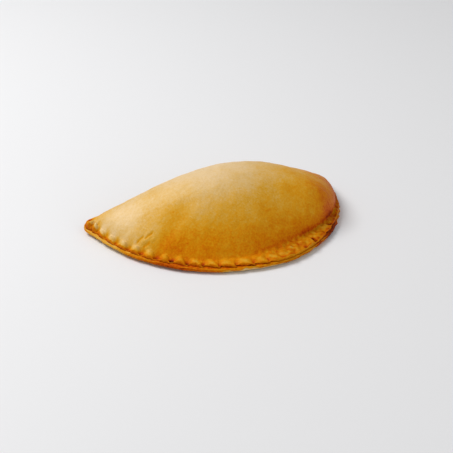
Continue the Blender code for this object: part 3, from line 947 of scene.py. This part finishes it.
def section(rim):
    """Rows from the table up to the upper sheet, blended into the fold's round nose."""
    share = rim[2]
    phi = edge_angle(rim)
    lift = rim_lift(phi)
    above, shelf = sheet_rows(rim, phi, lift)
    arc_rows = lip_rows(phi, lift) + above
    outermost = len(UNDER_RISE) + LIP_ROWS // 2
    edge = at_inset(rim, 0.0)
    nose = top_height(edge[:, 0], edge[:, 1])
    # Along the flange the edge is darkened, partly as duller crust and partly as painted shade.
    dull_and_shade = EDGE_DULL_AND_SHADE * along_flange(phi) * (1.0 - share)
    found = []
    for number, (arc_inset, arc_height, arc_toast) in enumerate(arc_rows):
        if number <= outermost:
            turn = 0.5 * np.pi * number / outermost
            fold_inset = FOLD_BED * (1.0 - np.sin(turn))
            fold_height = nose * (1.0 - np.cos(turn))
            fold_toast = FOLD_LOW_TOAST + FOLD_NOSE_MORE * np.sin(turn)
        else:
            part = (number - outermost) / (len(arc_rows) - outermost)
            fold_inset = FOLD_SHELF * part**2
            point = at_inset(rim, fold_inset)
            fold_height = top_height(point[:, 0], point[:, 1])
            fold_toast = FOLD_NOSE_TOAST - FOLD_TOP_LESS * part
        inset = arc_inset + (fold_inset - arc_inset) * share
        height = arc_height + (fold_height - arc_height) * share
        toast = arc_toast + (fold_toast - arc_toast) * share
        found.append(np.column_stack([at_inset(rim, inset), height, toast, dull_and_shade]))
    return found, shelf + (FOLD_SHELF - shelf) * share


def toward_crease(rim, shelf, part):
    """Points at a share of the way from the shelf to the crease or past it, one for each ray."""
    crease = np.maximum(rim_width(edge_angle(rim)), NARROWEST)
    crease = crease + (FOLD_CREASE - crease) * rim[2]
    return at_inset(rim, part * crease + max(0.0, 1.0 - part) * shelf)


def toward_core(point, part):
    return CORE + (point - CORE) * (1.0 - part)


def over(point):
    """Points of the upper surface: place, height, browning, and dullness with painted shade."""
    x, y = point[:, 0], point[:, 1]
    near_fold = step_up(y - fold_line(x), *BACK_FROM)
    toast = top_toast(x, y)
    toast = toast + (BACK_TOAST - toast) * BACK_SHARE * near_fold
    toast = np.minimum(toast + BURNT_BROWNER * burnt(x, y), 1.0)
    return np.column_stack([point, top_height(x, y), toast, top_dull_and_shade(x, y)])


def under(point):
    """Points of the flat underside: place, height, browning, and dullness with painted shade."""
    toast = UNDER_TOAST + UNDER_MOTTLE * waves(point[:, 0], point[:, 1], *UNDER_WAVES)
    return np.column_stack([point, np.zeros(len(point)), toast, np.zeros(len(point))])


def rings():
    """Rings of points, each with its browning, from the middle of the underside to the crest."""
    rim = columns(COLUMNS, FOLD_COLUMNS)
    found = [under(CORE[None, :])]
    for step, part in UNDERSIDE_RINGS:
        thin = tuple(item[::step] for item in rim)
        found.append(under(toward_core(at_inset(thin, BED), part)))
    rows, shelf = section(rim)
    found += rows
    for part in np.linspace(FINE_FROM, FINE_REACH, FINE_RINGS):
        found.append(over(toward_crease(rim, shelf, part)))
    for step, part in DOME_RINGS:
        thin = tuple(item[::step] for item in rim)
        inner = toward_crease(thin, shelf[::step], FINE_REACH)
        found.append(over(toward_core(inner, part)))
    found.append(over(CORE[None, :]))
    return found


def strip(lower, upper):
    """Faces between two rings of vertex numbers that have equal, double or half counts."""
    if len(lower) == 1:
        return [(lower[0], upper[i], upper[i - 1]) for i in range(len(upper))]
    if len(upper) == 1:
        return [(lower[i - 1], lower[i], upper[0]) for i in range(len(lower))]
    faces = []
    if len(lower) == len(upper):
        for i in range(len(lower)):
            faces.append((lower[i - 1], lower[i], upper[i], upper[i - 1]))
    elif len(lower) > len(upper):
        for i in range(len(upper)):
            before, middle, after = lower[2 * i - 2], lower[2 * i - 1], lower[2 * i]
            faces.append((before, middle, upper[i - 1]))
            faces.append((middle, upper[i], upper[i - 1]))
            faces.append((middle, after, upper[i]))
    else:
        for i in range(len(lower)):
            before, middle, after = upper[2 * i - 2], upper[2 * i - 1], upper[2 * i]
            faces.append((lower[i - 1], middle, before))
            faces.append((lower[i - 1], lower[i], middle))
            faces.append((lower[i], after, middle))
    return faces


def crust_mesh():
    """The whole skin, moved to the middle of the solid's box, with its browning, and its dullness
    with painted shade.
    """
    found = rings()
    points = np.concatenate(found)
    low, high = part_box("turnover")
    middle = 0.5 * (points[:, :2].min(axis=0) + points[:, :2].max(axis=0))
    points[:, 0] += 0.5 * (low.x + high.x) - middle[0]
    points[:, 1] += 0.5 * (low.y + high.y) - middle[1]
    faces = []
    first = 0
    numbers = []
    for ring in found:
        numbers.append(list(range(first, first + len(ring))))
        first += len(ring)
    for lower, upper in zip(numbers, numbers[1:]):
        faces += strip(lower, upper)
    mesh = bpy.data.meshes.new("turnover_crust")
    mesh.from_pydata(points[:, :3].tolist(), [], faces)
    # The second attribute carries the flange's darkening: partly duller crust, partly painted
    # shade.
    for name, column in (("toast", 3), ("dull_and_shade", 4)):
        values = mesh.attributes.new(name, "FLOAT", "POINT")
        values.data.foreach_set("value", points[:, column].astype(np.float32))
    mesh.shade_smooth()
    mesh.update()
    return mesh


def crust_material():
    """Baked dough: browning from the mesh, mottled, with fine pores, a satin sheen, and the flange
    darkened by duller crust and painted shade.
    """
    material = bpy.data.materials.new("baked_crust")
    material.use_nodes = True
    tree = material.node_tree
    shader = tree.nodes["Principled BSDF"]
    shader.inputs["Metallic"].default_value = 0.0
    shader.inputs["Specular Tint"].default_value = SHEEN_TINT

    def node(kind, **values):
        made = tree.nodes.new(kind)
        for name, value in values.items():
            made.inputs[name].default_value = value
        return made

    def math(kind, first, second):
        made = tree.nodes.new("ShaderNodeMath")
        made.operation = kind
        for number, value in enumerate((first, second)):
            if isinstance(value, (int, float)):
                made.inputs[number].default_value = value
            else:
                tree.links.new(value, made.inputs[number])
        return made.outputs["Value"]

    def noise(scale, detail, rough, strength):
        made = node("ShaderNodeTexNoise", Scale=scale, Detail=detail, Roughness=rough)
        tree.links.new(place, made.inputs["Vector"])
        return math("MULTIPLY", math("SUBTRACT", made.outputs["Fac"], 0.5), strength)

    def from_mesh(name):
        made = tree.nodes.new("ShaderNodeAttribute")
        made.attribute_name = name
        return made.outputs["Fac"]

    place = tree.nodes.new("ShaderNodeTexCoord").outputs["Object"]
    tone = math("ADD", math("ADD", from_mesh("toast"), noise(*MOTTLE)), noise(*GRAIN))
    ramp = tree.nodes.new("ShaderNodeValToRGB")
    ramp.color_ramp.interpolation = "LINEAR"
    stops = ramp.color_ramp.elements
    stops[0].color = TOAST_COLOURS[0][1] + (1.0,)
    stops[-1].color = TOAST_COLOURS[-1][1] + (1.0,)
    for position, colour in TOAST_COLOURS[1:-1]:
        stops.new(position).color = colour + (1.0,)
    tree.links.new(tone, ramp.inputs["Fac"])
    dulled_and_shaded = tree.nodes.new("ShaderNodeVectorMath")
    dulled_and_shaded.operation = "SCALE"
    tree.links.new(ramp.outputs["Color"], dulled_and_shaded.inputs[0])
    # The flange is darkened here: partly a duller crust, partly painted shade from the dome.
    bright = math("SUBTRACT", 1.0, math("MULTIPLY", from_mesh("dull_and_shade"), FLANGE_DULL_AND_SHADE))
    tree.links.new(bright, dulled_and_shaded.inputs["Scale"])
    tree.links.new(dulled_and_shaded.outputs["Vector"], shader.inputs["Base Color"])

    shine = math("SUBTRACT", SHEEN, math("MULTIPLY", from_mesh("toast"), SHEEN_FALL))
    tree.links.new(math("MAXIMUM", shine, SHEEN_LEAST), shader.inputs["Specular IOR Level"])
    tree.links.new(math("ADD", noise(*SMEARS), ROUGHNESS), shader.inputs["Roughness"])

    bump = node("ShaderNodeBump", Strength=BUMP_STRENGTH, Distance=BUMP_DISTANCE)
    tree.links.new(math("ADD", noise(*PORES), noise(*BLISTERS)), bump.inputs["Height"])
    tree.links.new(bump.outputs["Normal"], shader.inputs["Normal"])
    return material


def floor_material():
    material = bpy.data.materials.new("pale_floor")
    material.use_nodes = True
    shader = material.node_tree.nodes["Principled BSDF"]
    shader.inputs["Base Color"].default_value = FLOOR_COLOUR
    shader.inputs["Roughness"].default_value = FLOOR_ROUGHNESS
    return material


def add_floor():
    signs = ((-1, -1), (1, -1), (1, 1), (-1, 1))
    corners = [(x * FLOOR_REACH, y * FLOOR_REACH, 0.0) for x, y in signs]
    mesh = bpy.data.meshes.new("floor")
    mesh.from_pydata(corners, [], [(0, 1, 2, 3)])
    floor = bpy.data.objects.new("floor", mesh)
    floor.location.z = FLOOR_HEIGHT
    floor.data.materials.append(floor_material())
    bpy.context.scene.collection.objects.link(floor)


def aim(item, place, target):
    item.location = place
    item.rotation_euler = (target - place).to_track_quat("-Z", "Y").to_euler()


def add_light(name, place, size, power):
    light = bpy.data.lights.new(name, "AREA")
    light.size = size
    light.energy = power
    item = bpy.data.objects.new(name, light)
    aim(item, Vector(place), LIT)
    bpy.context.scene.collection.objects.link(item)


def add_studio():
    world = bpy.data.worlds.new("studio")
    world.use_nodes = True
    background = world.node_tree.nodes["Background"]
    background.inputs["Color"].default_value = SKY_COLOUR
    background.inputs["Strength"].default_value = SKY_STRENGTH
    bpy.context.scene.world = world
    bpy.context.scene.view_settings.view_transform = "Standard"
    add_light("key", place=(-0.50, 0.42, 0.84), size=0.50, power=8.4)
    add_light("fill", place=(0.50, -0.90, 0.60), size=0.80, power=2.4)


def add_camera():
    turn, rise = np.radians(AZIMUTH), np.radians(ELEVATION)
    outward = Vector((-np.sin(turn) * np.cos(rise), -np.cos(turn) * np.cos(rise), np.sin(rise)))
    lens = bpy.data.cameras.new("camera")
    lens.lens = LENS
    lens.sensor_width = SENSOR
    lens.clip_start = CLIP_START
    camera = bpy.data.objects.new("camera", lens)
    aim(camera, AIM + DISTANCE * outward, AIM)
    bpy.context.scene.collection.objects.link(camera)
    bpy.context.scene.camera = camera


crust = bpy.data.objects.new("turnover_crust", crust_mesh())
crust.data.materials.append(crust_material())
bpy.context.scene.collection.objects.link(crust)
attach(crust, "root")
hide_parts("turnover")
add_floor()
add_studio()
add_camera()
